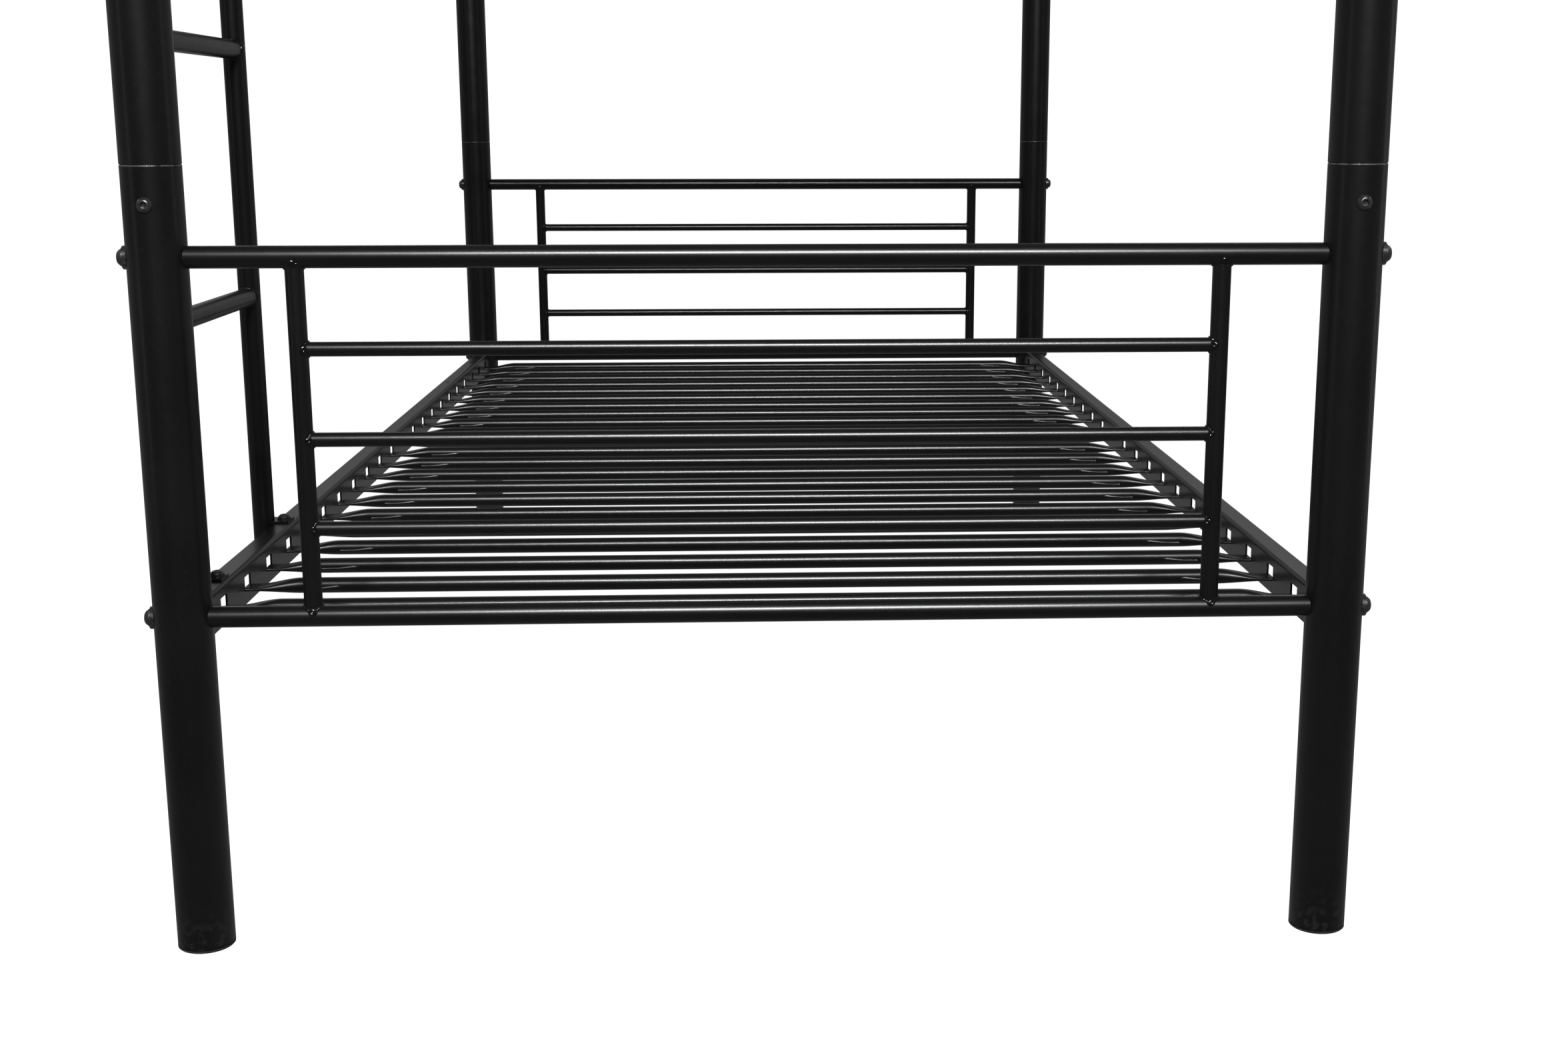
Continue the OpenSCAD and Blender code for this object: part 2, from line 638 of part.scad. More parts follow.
post_lower(FOOT, LEFT);  // post_lower_foot_left
post_lower(FOOT, RIGHT);  // post_lower_foot_right
post_lower(HEAD, LEFT);  // post_lower_head_left
post_lower(HEAD, RIGHT);  // post_lower_head_right
post_upper(FOOT, LEFT);  // post_upper_foot_left
post_upper(FOOT, RIGHT);  // post_upper_foot_right
post_upper(HEAD, LEFT);  // post_upper_head_left
post_upper(HEAD, RIGHT);  // post_upper_head_right
sleeve(FOOT, LEFT);  // sleeve_foot_left
sleeve(FOOT, RIGHT);  // sleeve_foot_right
sleeve(HEAD, LEFT);  // sleeve_head_left
sleeve(HEAD, RIGHT);  // sleeve_head_right
foot_plugs();
post_caps();
panel_rails(FOOT, deck_z);  // panel_lower_foot_rails
panel_uprights(FOOT, deck_z);  // panel_lower_foot_uprights
panel_bars(FOOT, deck_z);  // panel_lower_foot_bars
panel_rails(HEAD, deck_z);  // panel_lower_head_rails
panel_uprights(HEAD, deck_z);  // panel_lower_head_uprights
panel_bars(HEAD, deck_z);  // panel_lower_head_bars
panel_rails(FOOT, upper_z);  // panel_upper_foot_rails
panel_uprights(FOOT, upper_z);  // panel_upper_foot_uprights
panel_bars(FOOT, upper_z);  // panel_upper_foot_bars
panel_rails(HEAD, upper_z);  // panel_upper_head_rails
panel_uprights(HEAD, upper_z);  // panel_upper_head_uprights
panel_bars(HEAD, upper_z);  // panel_upper_head_bars
panel_welds();
side_rail_left(deck_z, []);  // side_rail_lower_left
side_rail_right(deck_z, []);  // side_rail_lower_right
side_rail_left(upper_z, guard_foot_ys);  // side_rail_upper_left
side_rail_right(upper_z, right_ys);  // side_rail_upper_right
rail_hooks();
slats(deck_z);  // slats_lower
slats(upper_z);  // slats_upper
stile(stile_ys[0]);  // ladder_stile_near
stile(stile_ys[1]);  // ladder_stile_far
ladder_rungs();
ladder_tabs();
ladder_stile_caps();
ladder_welds();
ladder_bolts();
ladder_washers();
ladder_nuts();
guard_left_frame();
guard_uprights_at(LEFT, left_ys);  // guard_left_uprights
guard_bars_at(LEFT, guard_foot_ys, rail_d);  // guard_left_bars
guard_right_rail();
guard_uprights_at(RIGHT, right_ys);  // guard_right_uprights
guard_bars_at(RIGHT, right_ys, upright_d);  // guard_right_bars
guard_feet();
guard_foot_bolts();
guard_foot_nuts();
frame_bolts();
saddle_washers();
rail_inserts();
joint_bolts();
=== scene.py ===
"""Studio scene of a steel bunk bed with a side ladder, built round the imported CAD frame."""

import json
import math
import random

import bmesh
import bpy
from mathutils import Matrix, Vector


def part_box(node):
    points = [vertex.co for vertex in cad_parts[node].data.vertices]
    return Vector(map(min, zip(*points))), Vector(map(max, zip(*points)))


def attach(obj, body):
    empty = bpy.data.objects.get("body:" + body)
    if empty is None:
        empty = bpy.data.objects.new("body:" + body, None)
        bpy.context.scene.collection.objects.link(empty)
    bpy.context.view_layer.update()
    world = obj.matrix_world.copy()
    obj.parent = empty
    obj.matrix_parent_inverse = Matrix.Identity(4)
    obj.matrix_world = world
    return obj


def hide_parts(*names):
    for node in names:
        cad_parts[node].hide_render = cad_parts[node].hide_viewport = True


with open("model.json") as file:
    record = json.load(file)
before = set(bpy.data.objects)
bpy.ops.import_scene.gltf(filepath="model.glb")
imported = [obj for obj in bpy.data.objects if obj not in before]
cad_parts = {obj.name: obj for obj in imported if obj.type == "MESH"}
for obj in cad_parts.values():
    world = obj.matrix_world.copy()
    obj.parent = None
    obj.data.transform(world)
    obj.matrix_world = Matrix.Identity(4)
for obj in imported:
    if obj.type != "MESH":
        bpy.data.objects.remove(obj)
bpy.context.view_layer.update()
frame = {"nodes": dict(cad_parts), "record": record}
NODES = frame["nodes"]
SLOT_OF = {row["node"]: row["material_slot"] for row in frame["record"]["subparts"]}
MM = 0.001
FULL_TURN = 2 * math.pi


# ---- Materials ----

def start_material(name):
    """A new node material, its shader and its object coordinates: the row frame in metres."""
    mat = bpy.data.materials.new(name)
    mat.use_nodes = True
    shader = mat.node_tree.nodes["Principled BSDF"]
    place = mat.node_tree.nodes.new("ShaderNodeTexCoord").outputs["Object"]
    return mat, shader, place


def noise(mat, place, cell, detail):
    """Noise whose features are about `cell` metres wide."""
    node = mat.node_tree.nodes.new("ShaderNodeTexNoise")
    node.inputs["Scale"].default_value = 1 / cell
    node.inputs["Detail"].default_value = detail
    mat.node_tree.links.new(place, node.inputs["Vector"])
    return node.outputs["Fac"]


def remap(mat, value, edges, levels):
    """Maps a value between two edges to two levels, smoothly and clamped."""
    node = mat.node_tree.nodes.new("ShaderNodeMapRange")
    node.interpolation_type = "SMOOTHSTEP"
    for key, number in zip(("From Min", "From Max", "To Min", "To Max"), (*edges, *levels)):
        node.inputs[key].default_value = number
    mat.node_tree.links.new(value, node.inputs["Value"])
    return node.outputs["Result"]


SOFT = (0.3, 0.7)  # edges near the ends of a noise's range, which give soft patches


def patches(mat, place, cell, detail, edges=SOFT, levels=(0, 1)):
    """Noise with its contrast raised: patches about `cell` metres wide."""
    return remap(mat, noise(mat, place, cell, detail), edges, levels)


def math_node(mat, kind, first, second):
    """A math node of two sockets, or of a socket and a number."""
    node = mat.node_tree.nodes.new("ShaderNodeMath")
    node.operation = kind
    for socket, value in zip(node.inputs, (first, second)):
        if isinstance(value, (int, float)):
            socket.default_value = value
        else:
            mat.node_tree.links.new(value, socket)
    return node.outputs["Value"]


def blend_colours(mat, factor, first, second):
    """A colour between two colours or sockets, by factor."""
    node = mat.node_tree.nodes.new("ShaderNodeMix")
    node.data_type = "RGBA"
    mat.node_tree.links.new(factor, node.inputs["Factor"])
    for socket, value in ((node.inputs["A"], first), (node.inputs["B"], second)):
        if isinstance(value, tuple):
            socket.default_value = (*value, 1.0)
        else:
            mat.node_tree.links.new(value, socket)
    return node.outputs["Result"]


def bump(mat, height, depth, under=None):
    """Bump of `depth` metres, on top of another bump."""
    node = mat.node_tree.nodes.new("ShaderNodeBump")
    node.inputs["Distance"].default_value = depth
    mat.node_tree.links.new(height, node.inputs["Height"])
    if under is not None:
        mat.node_tree.links.new(under, node.inputs["Normal"])
    return node.outputs["Normal"]


COAT_DARK = (0.0023, 0.0023, 0.0024)
COAT_LIGHT = (0.0033, 0.0033, 0.0035)
COAT_SPECK = (0.0065, 0.0065, 0.007)
COAT_SCUFF = (0.0075, 0.0075, 0.0072)
SCUFF_REACH = (4 * MM, 50 * MM)  # heights between which the scuffs fade out
SCUFF_DULLING = 0.08  # added roughness
GLOSS_SWING = (-0.006, 0.008)  # of roughness, from patch to patch
FINE_PEEL = 0.4  # of the orange peel's depth


def powder_coat(name, roughness, peel):
    """Black powder coat: orange peel, uneven gloss, and dull scuffs close to the floor."""
    mat, shader, place = start_material(name)
    links = mat.node_tree.links
    axes = mat.node_tree.nodes.new("ShaderNodeSeparateXYZ")
    links.new(place, axes.inputs[0])
    near_floor = remap(mat, axes.outputs["Z"], SCUFF_REACH, (1, 0))
    scratches = patches(mat, place, 6 * MM, 4.0, edges=(0.48, 0.62))
    scuff = math_node(mat, "MULTIPLY", near_floor, scratches)
    coat = blend_colours(mat, patches(mat, place, 110 * MM, 3.0), COAT_DARK, COAT_LIGHT)
    specks = patches(mat, place, 1.6 * MM, 2.0, edges=(0.6, 0.75))
    coat = blend_colours(mat, specks, coat, COAT_SPECK)
    coat = blend_colours(mat, scuff, coat, COAT_SCUFF)
    links.new(coat, shader.inputs["Base Color"])
    gloss = patches(mat, place, 12 * MM, 3.0, levels=[roughness + swing for swing in GLOSS_SWING])
    dulled = math_node(mat, "ADD", gloss, math_node(mat, "MULTIPLY", scuff, SCUFF_DULLING))
    links.new(dulled, shader.inputs["Roughness"])
    shader.inputs["Specular IOR Level"].default_value = 0.5
    fine = bump(mat, noise(mat, place, 1.1 * MM, 1.5), peel * FINE_PEEL)
    wavy = bump(mat, noise(mat, place, 3.4 * MM, 1.0), peel, fine)
    links.new(wavy, shader.inputs["Normal"])
    return mat


PLASTIC_DARK = (0.010, 0.010, 0.011)
PLASTIC_LIGHT = (0.015, 0.015, 0.016)
FINE_GRAIN = 0.004 * MM  # depth of the grain on plastic and oxide


def moulded_plastic():
    """Black plastic of plugs and caps: matt, finely grained."""
    mat, shader, place = start_material("moulded_plastic")
    links = mat.node_tree.links
    colour = blend_colours(mat, patches(mat, place, 20 * MM, 3.0), PLASTIC_DARK, PLASTIC_LIGHT)
    links.new(colour, shader.inputs["Base Color"])
    links.new(patches(mat, place, 4 * MM, 3.0, levels=(0.42, 0.52)), shader.inputs["Roughness"])
    links.new(bump(mat, noise(mat, place, 0.6 * MM, 2.0), FINE_GRAIN), shader.inputs["Normal"])
    return mat


OXIDE_BLACK = (0.09, 0.09, 0.095)
OXIDE_RUBBED = (0.2, 0.195, 0.19)
OXIDE_METALLIC = 0.9


def black_steel():
    """Black-oxide steel of bolts, washers and nuts, brighter where it is rubbed."""
    mat, shader, place = start_material("black_oxide_steel")
    links = mat.node_tree.links
    rubbed = patches(mat, place, 3 * MM, 4.0, edges=(0.52, 0.7))
    colour = blend_colours(mat, rubbed, OXIDE_BLACK, OXIDE_RUBBED)
    links.new(colour, shader.inputs["Base Color"])
    shader.inputs["Metallic"].default_value = OXIDE_METALLIC
    links.new(patches(mat, place, 1.8 * MM, 3.0, levels=(0.24, 0.34)), shader.inputs["Roughness"])
    links.new(bump(mat, noise(mat, place, 0.8 * MM, 2.0), FINE_GRAIN), shader.inputs["Normal"])
    return mat


RIM_COATED = (0.012, 0.012, 0.012)
# Lighter grey of bare steel: real wear, and also a painted highlight line along the rim
RIM_BARE_HIGHLIGHT = (0.16, 0.157, 0.153)
RIM_METALLIC = 0.7  # where it is bare


def bare_rim_painted_highlight():
    """Powder coat rubbed through in places to dull steel along a tube's rim; the lighter grey of the bare
    patches also paints a highlight line along the rim.
    """
    mat, shader, place = start_material("bare_rim_painted_highlight")
    links = mat.node_tree.links
    # Patches of bare steel: worn coat, and also a painted highlight along the rim
    bare_highlight_patches = patches(mat, place, 11 * MM, 2.0, edges=(0.36, 0.56))
    links.new(blend_colours(mat, bare_highlight_patches, RIM_COATED, RIM_BARE_HIGHLIGHT), shader.inputs["Base Color"])
    links.new(math_node(mat, "MULTIPLY", bare_highlight_patches, RIM_METALLIC), shader.inputs["Metallic"])
    links.new(patches(mat, place, 2 * MM, 2.0, levels=(0.3, 0.42)), shader.inputs["Roughness"])
    return mat


FINISHES = {
    "powder_coat": powder_coat("powder_coat_black", roughness=0.28, peel=0.004 * MM),
    "plastic": moulded_plastic(),
    "hardware": black_steel(),
}
WELD = powder_coat("powder_coat_on_weld", roughness=0.13, peel=0.02 * MM)


# ---- Pieces ----

SHARP_EDGE = 38  # degrees


def piece(name, verts, faces, material, replaced=(), sharp=SHARP_EDGE):
    """A mesh that rides on the frame, with smooth shading except at sharp edges."""
    mesh = bpy.data.meshes.new(name)
    mesh.from_pydata(verts, [], faces)
    mesh.shade_smooth()
    mesh.set_sharp_from_angle(angle=math.radians(sharp))
    mesh.materials.append(material)
    obj = bpy.data.objects.new(name, mesh)
    bpy.context.scene.collection.objects.link(obj)
    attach(obj, "root")
    if replaced:
        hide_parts(*replaced)
    return obj


def solids(node):
    """(lowest corner, highest corner) of each separate solid in a CAD node."""
    shape = bmesh.new()
    shape.from_mesh(NODES[node].data)
    bmesh.ops.remove_doubles(shape, verts=shape.verts, dist=0.01 * MM)
    left = set(shape.verts)
    boxes = []
    while left:
        todo = [left.pop()]
        low = todo[0].co.copy()
        high = low.copy()
        while todo:
            vert = todo.pop()
            low = Vector(map(min, low, vert.co))
            high = Vector(map(max, high, vert.co))
            for edge in vert.link_edges:
                other = edge.other_vert(vert)
                if other in left:
                    left.remove(other)
                    todo.append(other)
        boxes.append((low, high))
    shape.free()
    return sorted(boxes, key=lambda box: tuple(round(c, 4) for c in box[0]))


def other_axes(axis):
    """The two axes besides one of 0, 1 and 2."""
    return [i for i in range(3) if i != axis]


def rings_to_faces(count, size, first, closed=False):
    """Quads between `count` rings of `size` points; a closed run joins the last ring to the first."""
    faces = []
    for ring in range(count if closed else count - 1):
        here = first + ring * size
        there = first + (ring + 1) % count * size
        for i in range(size):
            j = (i + 1) % size
            faces.append((here + i, here + j, there + j, there + i))
    return faces


def capped_rings(count, size, first):
    """Quads between `count` rings of `size` points, and a face over each end."""
    last = first + (count - 1) * size
    faces = rings_to_faces(count, size, first)
    faces.append(tuple(range(first, first + size))[::-1])
    faces.append(tuple(range(last, last + size)))
    return faces


# ---- Slats: round tubes with pressed ends ----

SLAT_POINTS = 48
FLAT_T = 3.2 * MM
FLAT_LEN = 10 * MM
FLAT_DROP = 1.8 * MM  # of the pressed end's middle, below the tube's axis
TAPER_LEN = 45 * MM
TAPER_STEPS = 14
SEAM_LEN = 0.6 * MM
SEAM_PRESS = 1.04  # pressed past flat, so the last edge is a little thinner


def slat_section(diameter, thickness):
    """Outline of a tube pressed to a thickness, with its girth kept: a stadium."""
    girth = math.pi * diameter
    width = (girth - math.pi * thickness) / 2 + thickness
    straight = (width - thickness) / 2
    points = []
    for i in range(SLAT_POINTS):
        angle = FULL_TURN * (i + 0.5) / SLAT_POINTS
        side = math.copysign(straight, math.cos(angle))
        points.append((side + thickness / 2 * math.cos(angle), thickness / 2 * math.sin(angle)))
    return points


def slat_stations():
    """(distance from a slat's end, how far it is pressed flat), from the round tube outwards."""
    stations = []
    for step in range(TAPER_STEPS + 1):
        share = step / TAPER_STEPS
        pressed = share * share * (3 - 2 * share)
        stations.append((FLAT_LEN + (1 - share) * TAPER_LEN, pressed))
    stations.append((SEAM_LEN, 1.0))
    stations.append((0.0, SEAM_PRESS))
    return stations


def slats(node):
    """All slats of a deck, each lofted from end to end and closed by its pressed seam."""
    stations = slat_stations()
    verts, faces = [], []
    for low, high in solids(node):
        middle_y = (low.y + high.y) / 2
        diameter = high.z - low.z
        axis_z = high.z - diameter / 2
        run = [(low.x + offset, pressed) for offset, pressed in reversed(stations)]
        run += [(high.x - offset, pressed) for offset, pressed in stations]
        first = len(verts)
        for x, pressed in run:
            thickness = diameter + (FLAT_T - diameter) * pressed
            z = axis_z - FLAT_DROP * min(pressed, 1)
            for across, up in slat_section(diameter, thickness):
                verts.append((x, middle_y + across, z + up))
        faces += capped_rings(len(run), SLAT_POINTS, first)
    name = node.replace("slats", "pressed_slats")
    return piece(name, verts, faces, FINISHES["powder_coat"], (node,))


# ---- Weld beads: rippled rings where one tube meets another ----

BEAD_R = 1.8 * MM
BEAD_STEPS = 96
BEAD_POINTS = 10
BEAD_SUNK = 0.35 * BEAD_R  # of the bead's middle, behind the corner
BEAD_WIDEN = 1.1
BEAD_LEAST = 0.92  # shares of BEAD_R: between ripples, a ripple's rise and the slow drift
BEAD_RIPPLE = 0.2
BEAD_DRIFT = 0.18
DRIFT_WAVES = 6
RIPPLE_PITCH = 2.1 * MM
FEWEST_RIPPLES = 10
PUDDLE_R = 3.9 * MM
PUDDLE_RINGS = 9
PUDDLE_POINTS = 20
PUDDLE_RISE = 0.62  # of its radius
PUDDLE_SIZES = (0.85, 1.12)  # least and most, of PUDDLE_R
PUDDLE_OVAL = 0.09  # unevenness of its outline, as shares of its radius
PUDDLE_LOBES = 0.05
PUDDLE_PROUD = 0.2  # of the bead's radius
PUDDLE_TURNS = (0.02, 0.51)  # shares of a turn round the joint, from its side face
CRATER_DEPTH = 0.42
CRATER_R = 0.3
WELD_SHARP = 60
AXES = (Vector((1, 0, 0)), Vector((0, 1, 0)), Vector((0, 0, 1)))
rng = random.Random(7)


def weld_corner(angle, centre, inwards, along, tube_r, wall_r):
    """(point, direction out of the corner) at an angle round the line where a tube meets its wall."""
    side = inwards.cross(along)
    out = side * math.cos(angle) + along * math.sin(angle)
    if wall_r is None:
        point = centre + out * tube_r
        normal = -inwards
    else:
        back = math.sqrt(max(wall_r ** 2 - (tube_r * math.cos(angle)) ** 2, 0))
        point = centre + out * tube_r - inwards * back
        normal = (side * tube_r * math.cos(angle) - inwards * back) / wall_r
    return point, (out + normal).normalized()


def weld_bead(verts, faces, centre, inwards, along, tube_r, wall_r):
    """Bead round the end of a tube that runs `inwards` to a wall, with two puddles of weld metal.

    The wall is a round tube of wall_r along `along`, whose axis passes through centre, or a
    plate at centre when wall_r is None.
    """
    ripples = max(FEWEST_RIPPLES, round(FULL_TURN * tube_r / RIPPLE_PITCH))
    start = rng.uniform(0, FULL_TURN)
    wobble = [rng.uniform(-1, 1) for _ in range(DRIFT_WAVES)]
    spine = []
    for i in range(BEAD_STEPS):
        angle = FULL_TURN * i / BEAD_STEPS
        point, spread = weld_corner(angle, centre, inwards, along, tube_r, wall_r)
        drift = sum(w * math.sin((k + 1) * angle + k) for k, w in enumerate(wobble)) / DRIFT_WAVES
        wave = 0.5 + 0.5 * math.cos(ripples * angle + start)
        radius = BEAD_R * (BEAD_LEAST + BEAD_RIPPLE * wave ** 2 + BEAD_DRIFT * drift)
        spine.append((point - spread * BEAD_SUNK, spread, radius))
    first = len(verts)
    for i, (point, spread, radius) in enumerate(spine):
        ahead = (spine[(i + 1) % BEAD_STEPS][0] - spine[i - 1][0]).normalized()
        across = ahead.cross(spread).normalized()
        up = across.cross(ahead)
        for j in range(BEAD_POINTS):
            turn = FULL_TURN * j / BEAD_POINTS
            verts.append(point + radius * (math.cos(turn) * up + BEAD_WIDEN * math.sin(turn) * across))
    faces += rings_to_faces(BEAD_STEPS, BEAD_POINTS, first, closed=True)
    for turn in PUDDLE_TURNS:
        point, spread, radius = spine[int(BEAD_STEPS * turn)]
        weld_puddle(verts, faces, point + spread * PUDDLE_PROUD * radius, spread)


def weld_puddle(verts, faces, centre, facing):
    """An uneven drop of weld metal with a small crater, where the torch stopped."""
    across = facing.orthogonal().normalized()
    along = facing.cross(across)
    size = PUDDLE_R * rng.uniform(*PUDDLE_SIZES)
    phase = rng.uniform(0, FULL_TURN)
    first = len(verts)
    for ring in range(1, PUDDLE_RINGS + 1):
        share = ring / PUDDLE_RINGS
        dome = math.sqrt(1 - share ** 2)
        crater = CRATER_DEPTH * math.exp(-(share / CRATER_R) ** 2)
        rise = PUDDLE_RISE * size * (dome - crater)
        for i in range(PUDDLE_POINTS):
            angle = FULL_TURN * i / PUDDLE_POINTS
            oval = PUDDLE_OVAL * math.sin(2 * angle + phase)
            lobes = PUDDLE_LOBES * math.sin(5 * angle + 2 * phase)
            r = size * share * (1 + oval + lobes)
            verts.append(centre + r * (math.cos(angle) * across + math.sin(angle) * along) + rise * facing)
    faces += capped_rings(PUDDLE_RINGS, PUDDLE_POINTS, first)


def end_beads(verts, faces, node, axis, along, wall_d, ends=(-1, 1)):
    """Beads at the ends of every tube of a node whose tubes run along one axis (0, 1 or 2).

    They meet tubes of wall_d that run along the axis `along`, or plates when wall_d is None.
    """
    wall_r = wall_d / 2 if wall_d else None
    for low, high in solids(node):
        middle = (low + high) / 2
        tube_r = max(high[i] - low[i] for i in other_axes(axis)) / 2
        for end in ends:
            centre = middle.copy()
            centre[axis] = high[axis] if end > 0 else low[axis]
            if wall_r is not None:
                saddle = wall_r - math.sqrt(max(wall_r ** 2 - tube_r ** 2, 0))
                centre[axis] += end * (wall_r - saddle)
            weld_bead(verts, faces, centre, AXES[axis] * end, AXES[along], tube_r, wall_r)


def thickness_of(node, axis):
    """Size of a node's first solid along one axis: across a tube, its diameter."""
    low, high = solids(node)[0]
    return high[axis] - low[axis]


def weld_piece(name, verts, faces, replaced=()):
    """Beads as one piece, in the glossier and rougher-cast coat of weld metal."""
    return piece(name, verts, faces, WELD, replaced, WELD_SHARP)


def panel_beads():
    """Beads of the end panels: bars on uprights and uprights on rails."""
    verts, faces = [], []
    for level in ("lower", "upper"):
        for end in ("foot", "head"):
            stem = f"panel_{level}_{end}_"
            rail_d = thickness_of(stem + "rails", 2)
            upright_d = thickness_of(stem + "uprights", 1)
            end_beads(verts, faces, stem + "bars", 0, 2, upright_d)
            end_beads(verts, faces, stem + "uprights", 2, 0, rail_d)
    return weld_piece("weld_beads_panels", verts, faces, ("panel_welds",))


def ladder_beads():
    """Beads of the rungs on the stiles."""
    verts, faces = [], []
    end_beads(verts, faces, "ladder_rungs", 1, 2, thickness_of("ladder_stile_near", 0))
    return weld_piece("weld_beads_ladder", verts, faces, ("ladder_welds",))


def guard_beads():
    """Beads of the guards: bars on uprights, uprights on rails and on foot plates."""
    verts, faces = [], []
    rail_d = thickness_of("guard_right_rail", 0)
    for side in ("left", "right"):
        upright_d = thickness_of(f"guard_{side}_uprights", 0)
        end_beads(verts, faces, f"guard_{side}_bars", 1, 2, upright_d)
        end_beads(verts, faces, f"guard_{side}_uprights", 2, 1, rail_d, (1,))
        end_beads(verts, faces, f"guard_{side}_uprights", 2, 1, None, (-1,))
    return weld_piece("weld_beads_guards", verts, faces)


# ---- Bolts: button heads with a hexagon socket ----

BOLT_SIDES = 48
BOLT_SHARP = 32
DOME_STEPS = 8
# Shares of the head's radius
SHANK_R = 0.48
SEAT_R = 0.93
TOP_R = 0.52
SOCKET_BEVEL = 0.05
SOCKET_BEVEL_DROP = 0.04
SOCKET_FLOOR_R = 0.18
# Shares of the head's height
SEAT_BEVEL = 0.07
SHOULDER = 0.2
SOCKET_BOTTOM = 0.42
SOCKET_TIP = 0.36
SOCKET_D = 0.36  # across flats, as a share of the head's diameter
FRAME_HEAD_H = 5 * MM
SMALL_HEAD_H = 3.7 * MM


def hexagon(angle, across_flats):
    """Radius of a hexagon at an angle."""
    part = angle % (math.pi / 3) - math.pi / 6
    return across_flats / 2 / math.cos(part)


def bolt_rings(head_d, head_h, grip):
    """(radius, hexagon across flats, height) of each ring, from shank's tip to socket's floor.

    The radius is added to the hexagon's, which is 0 where the ring is round.
    """
    r = head_d / 2
    flats = SOCKET_D * head_d
    rings = [
        (SHANK_R * r, 0, -grip),
        (SHANK_R * r, 0, 0),
        (SEAT_R * r, 0, 0),
        (r, 0, SEAT_BEVEL * head_h),
        (r, 0, SHOULDER * head_h),
    ]
    for step in range(1, DOME_STEPS + 1):
        share = step / DOME_STEPS
        rise = SHOULDER + (1 - SHOULDER) * math.sin(share * math.pi / 2)
        rings.append((r * (1 - (1 - TOP_R) * share), 0, head_h * rise))
    rings.append((SOCKET_BEVEL * r, flats, head_h))
    rings.append((0, flats, head_h - SOCKET_BEVEL_DROP * r))
    rings.append((0, flats, SOCKET_BOTTOM * head_h))
    rings.append((SOCKET_FLOOR_R * r, 0, SOCKET_TIP * head_h))
    return rings


def bolts(node, head_h):
    """Every bolt of a CAD node, at its place, pointing as the CAD bolt does."""
    verts, faces = [], []
    for low, high in solids(node):
        size = high - low
        middle = (low + high) / 2
        axis = max(range(3), key=lambda i: size[i])
        out = 1 if axis == 2 else math.copysign(1, middle[axis])
        others = other_axes(axis)
        head_d = max(size[i] for i in others)
        turn = rng.uniform(0, math.pi / 3)
        forward = AXES[axis] * out
        right = AXES[others[0]]
        up = forward.cross(right)
        base = middle.copy()
        base[axis] = (high[axis] if out > 0 else low[axis]) - out * head_h
        first = len(verts)
        rings = bolt_rings(head_d, head_h, size[axis] - head_h)
        for radius, flats, height in rings:
            for i in range(BOLT_SIDES):
                angle = FULL_TURN * i / BOLT_SIDES
                r = radius + hexagon(angle, flats)
                spin = angle + turn
                verts.append(base + forward * height + r * (math.cos(spin) * right + math.sin(spin) * up))
        faces += capped_rings(len(rings), BOLT_SIDES, first)
    return piece("socket_" + node, verts, faces, FINISHES["hardware"], (node,), BOLT_SHARP)


# ---- Rounded rims where the lower posts meet the upper ones ----

LIP_R = 0.75 * MM
LIP_STEPS = 96
LIP_POINTS = 16
LIP_SHARP = 80


def joint_lips():
    """The softly rounded upper rims of the four lower posts, which catch the light as a fine line; the
    lighter bare-steel patches of their coat also paint part of that line as a highlight.
    """
    verts, faces = [], []
    for end in ("foot", "head"):
        for side in ("left", "right"):
            low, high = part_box(f"post_lower_{end}_{side}")
            middle = (low + high) / 2
            spine_r = (high.x - low.x) / 2 - LIP_R
            first = len(verts)
            for i in range(LIP_STEPS):
                angle = FULL_TURN * i / LIP_STEPS
                for j in range(LIP_POINTS):
                    turn = FULL_TURN * j / LIP_POINTS
                    r = spine_r + LIP_R * math.cos(turn)
                    z = high.z - LIP_R + LIP_R * math.sin(turn)
                    verts.append((middle.x + math.cos(angle) * r, middle.y + math.sin(angle) * r, z))
            faces += rings_to_faces(LIP_STEPS, LIP_POINTS, first, closed=True)
    # The rim's coat lightens it in patches, a painted highlight on top of the lit lip
    return piece("post_joint_lips", verts, faces, bare_rim_painted_highlight(), (), LIP_SHARP)


# ---- Studio: floor, backdrop, lights and camera ----

WHITE = (1, 1, 1, 1)
BLACK = (0, 0, 0, 1)
FLOOR_DARK = (0.24, 0.24, 0.24)
FLOOR_LIGHT = (0.26, 0.26, 0.26)
FLOOR_GLOW = 0.965
FLOOR_HALF = 11.0
FLOOR_PATCH = 0.8
BACKDROP_GLOW = 1.05
BACKDROP_R = 11.5
ROOM_FRONT = 0.03
ROOM_BACK = 0.20


def stage_object(name, mesh, material):
    """An object that isn't part of the bed."""
    mesh.materials.append(material)
    obj = bpy.data.objects.new(name, mesh)
    bpy.context.scene.collection.objects.link(obj)
    return obj


def floor():
    """Plain floor, lit from within to near white, so that only a faint contact shadow shows."""
    mat, shader, place = start_material("pale_floor")
    tone = blend_colours(mat, noise(mat, place, FLOOR_PATCH, 2.0), FLOOR_DARK, FLOOR_LIGHT)
    mat.node_tree.links.new(tone, shader.inputs["Base Color"])
    shader.inputs["Roughness"].default_value = 0.9
    shader.inputs["Specular IOR Level"].default_value = 0.0
    shader.inputs["Emission Color"].default_value = WHITE
    shader.inputs["Emission Strength"].default_value = FLOOR_GLOW
    mesh = bpy.data.meshes.new("floor")
    corners = [(x * FLOOR_HALF, y * FLOOR_HALF, 0) for x, y in ((-1, -1), (1, -1), (1, 1), (-1, 1))]
    mesh.from_pydata(corners, [], [(0, 1, 2, 3)])
    obj = stage_object("floor", mesh, mat)
    obj.visible_glossy = False


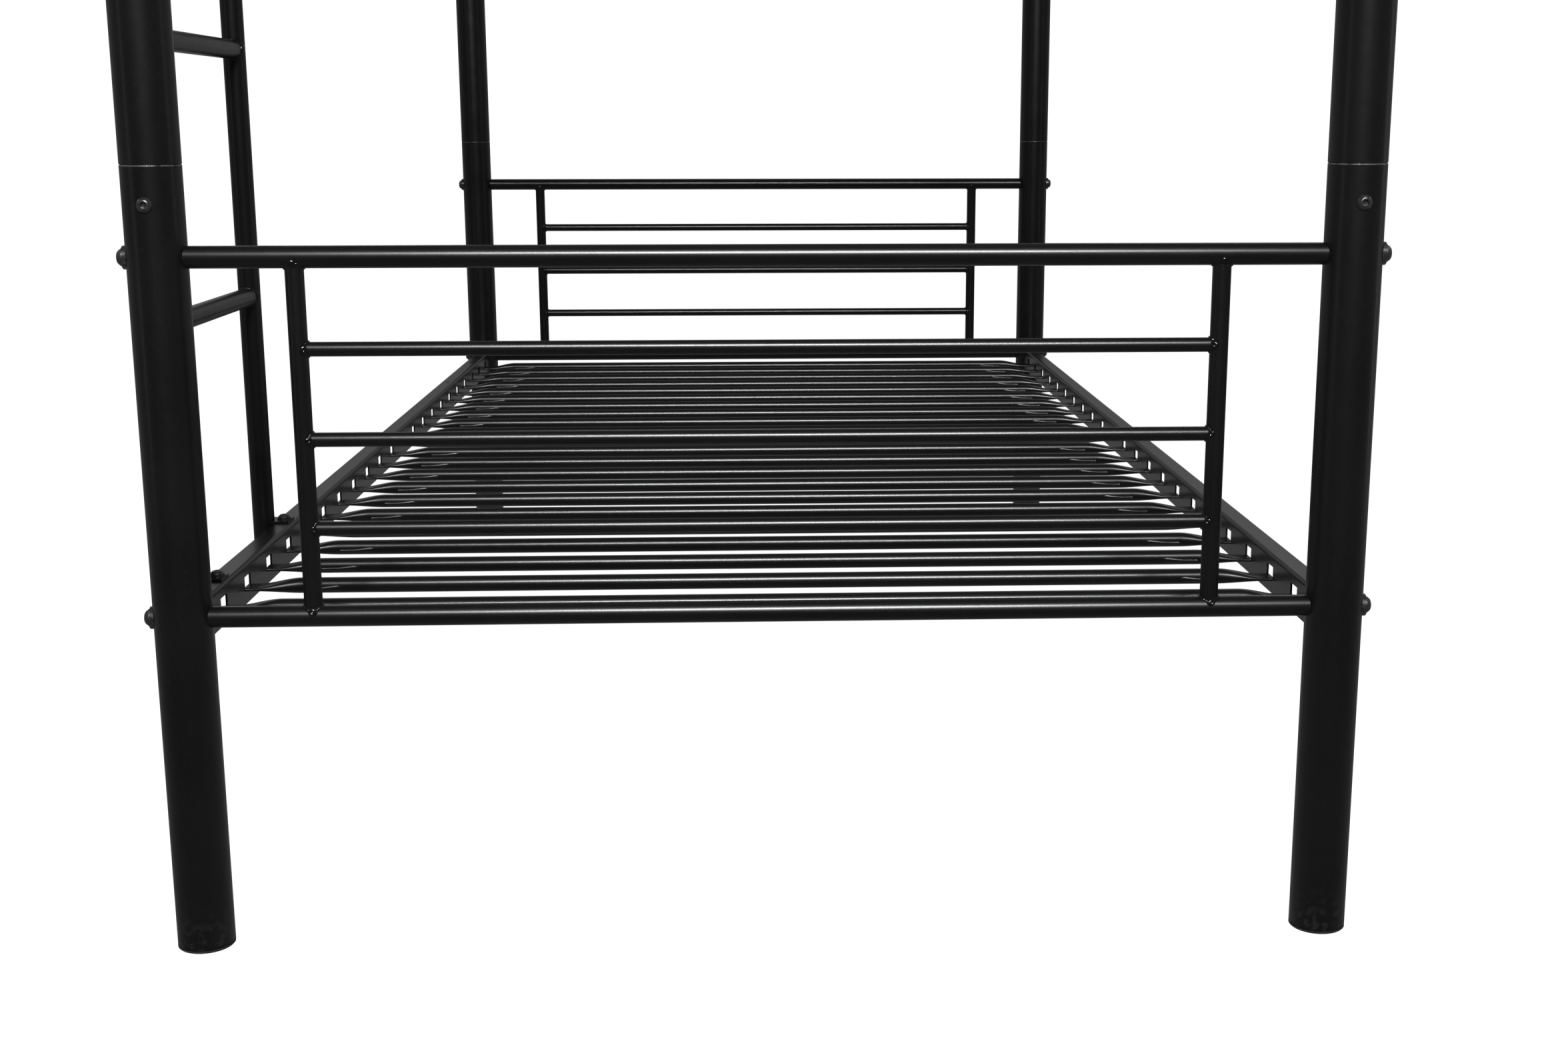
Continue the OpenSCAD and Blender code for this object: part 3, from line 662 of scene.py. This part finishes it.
def backdrop():
    """White dome that lights nothing and shows in no reflection."""
    mat, shader, _ = start_material("white_backdrop")
    shader.inputs["Base Color"].default_value = BLACK
    shader.inputs["Emission Color"].default_value = WHITE
    shader.inputs["Emission Strength"].default_value = BACKDROP_GLOW
    dome = bmesh.new()
    bmesh.ops.create_uvsphere(dome, u_segments=48, v_segments=24, radius=BACKDROP_R)
    mesh = bpy.data.meshes.new("backdrop")
    dome.to_mesh(mesh)
    dome.free()
    obj = stage_object("backdrop", mesh, mat)
    obj.visible_glossy = False
    obj.visible_diffuse = False
    obj.visible_shadow = False


def studio_walls():
    """Dim surroundings that the coat reflects: darkest in front, lightest behind."""
    world = bpy.data.worlds.new("studio")
    bpy.context.scene.world = world
    world.use_nodes = True
    nodes, links = world.node_tree.nodes, world.node_tree.links
    place = nodes.new("ShaderNodeTexCoord")
    axes = nodes.new("ShaderNodeSeparateXYZ")
    links.new(place.outputs["Generated"], axes.inputs[0])
    depth = nodes.new("ShaderNodeMapRange")
    for key, number in (("From Min", -1), ("From Max", 1), ("To Min", ROOM_FRONT), ("To Max", ROOM_BACK)):
        depth.inputs[key].default_value = number
    links.new(axes.outputs["Y"], depth.inputs["Value"])
    links.new(depth.outputs["Result"], nodes["Background"].inputs["Strength"])
    nodes["Background"].inputs["Color"].default_value = WHITE


def area_light(name, place, target, size, power):
    """A rectangular light of (width, height) at a place, facing a target."""
    light = bpy.data.lights.new(name, "AREA")
    light.shape = "RECTANGLE"
    light.size, light.size_y = size
    light.energy = power
    obj = bpy.data.objects.new(name, light)
    bpy.context.scene.collection.objects.link(obj)
    towards = Vector(target) - Vector(place)
    obj.location = place
    obj.rotation_euler = towards.to_track_quat("-Z", "Y").to_euler()


def lights():
    """A wide key light beyond the near end, upright strips to either side, and weak fills."""
    area_light("key", (0.12, -4.97, 3.47), target=(0, -0.4, 0.6), size=(1.9, 0.45), power=375)
    strip = (0.14, 1.9)
    area_light("strip_right", (2.5, -0.51, 1.0), target=(0, -0.5, 0.8), size=strip, power=0.7)
    area_light("strip_left", (-2.5, -1.99, 1.0), target=(0, -0.9, 0.8), size=strip, power=0.7)
    middle = (0, 0, 0.8)
    for side in (-1, 1):
        area_light(f"fill_side_{side}", (side * 5.2, 0.6, 3.6), middle, size=(2.6, 0.8), power=8)
        area_light(f"fill_back_{side}", (side * 2.6, 5.6, 3.6), middle, size=(2.2, 0.8), power=12)


CAMERA_PLACE = (-0.0081, -2.6279, 0.7231)
CAMERA_LENS = 44.62
CAMERA_SHIFT = (-0.0323, 0.0115)
CAMERA_PITCH = 0.21212  # downwards
CAMERA_YAW = -0.0416
CAMERA_ROLL = -0.00055


def camera():
    """Camera beyond the near end, above the lower bunk, which looks slightly down along the bed."""
    data = bpy.data.cameras.new("camera")
    data.sensor_width = 36.0
    data.lens = CAMERA_LENS
    data.shift_x, data.shift_y = CAMERA_SHIFT
    data.clip_end = 60
    turn = Matrix.Rotation(CAMERA_YAW, 3, "Z")
    forward = turn @ Vector((0, math.cos(CAMERA_PITCH), -math.sin(CAMERA_PITCH)))
    up = turn @ Vector((0, math.sin(CAMERA_PITCH), math.cos(CAMERA_PITCH)))
    right = forward.cross(up)
    basis = Matrix((right, up, -forward)).transposed() @ Matrix.Rotation(CAMERA_ROLL, 3, "Z")
    obj = bpy.data.objects.new("camera", data)
    obj.matrix_world = Matrix.Translation(CAMERA_PLACE) @ basis.to_4x4()
    bpy.context.scene.collection.objects.link(obj)
    bpy.context.scene.camera = obj


# ---- The scene ----

for node, obj in NODES.items():
    for material_slot in obj.material_slots:
        material_slot.material = FINISHES[SLOT_OF[node]]

slats("slats_lower")
slats("slats_upper")
panel_beads()
ladder_beads()
guard_beads()
joint_lips()
bolts("frame_bolts", FRAME_HEAD_H)
bolts("joint_bolts", SMALL_HEAD_H)
bolts("ladder_bolts", SMALL_HEAD_H)
bolts("guard_foot_bolts", SMALL_HEAD_H)

floor()
backdrop()
studio_walls()
lights()
camera()
bpy.context.scene.view_settings.view_transform = "Standard"
